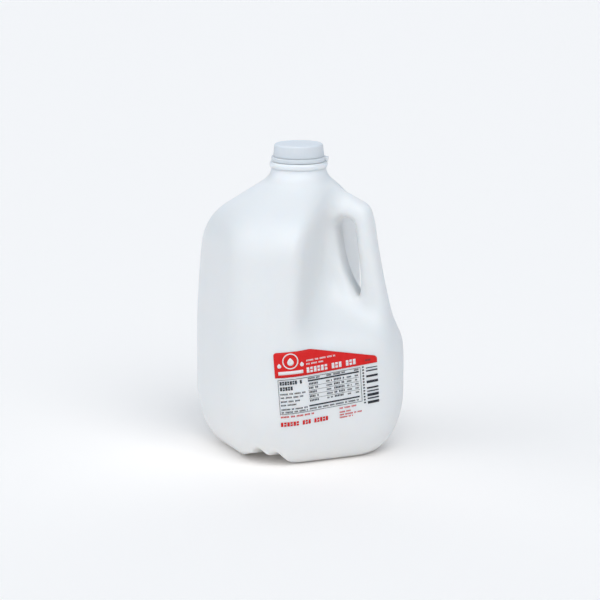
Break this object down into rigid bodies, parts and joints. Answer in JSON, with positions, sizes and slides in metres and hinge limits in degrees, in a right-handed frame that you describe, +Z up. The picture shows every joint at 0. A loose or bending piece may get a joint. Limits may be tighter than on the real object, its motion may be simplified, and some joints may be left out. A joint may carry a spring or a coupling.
{
  "type": "plastic milk jug",
  "caption": "Shut one-gallon plastic milk jug with rounded square body, moulded-in corner handle, sloping shoulders, short neck, snap cap and tear band.",
  "frame": {"origin": "on the floor under the axis of the neck, which is the middle of the square body", "axes": "+Z up along the neck; +X towards the body corner that carries the handle; -Y towards the corner nearest the viewer; the four flat faces look along the diagonals between X and Y"},
  "size_m": [0.181, 0.179, 0.26],
  "materials": {
    "jug_plastic": "satin natural polyethylene, white with the milk behind it",
    "cap_plastic": "satin translucent polyethylene",
    "band_plastic": "satin translucent polyethylene"
  },
  "bodies": {
    "root": {"jug_body": "jug_plastic", "cap": "cap_plastic", "tear_band": "band_plastic"}
  },
  "joints": []
}
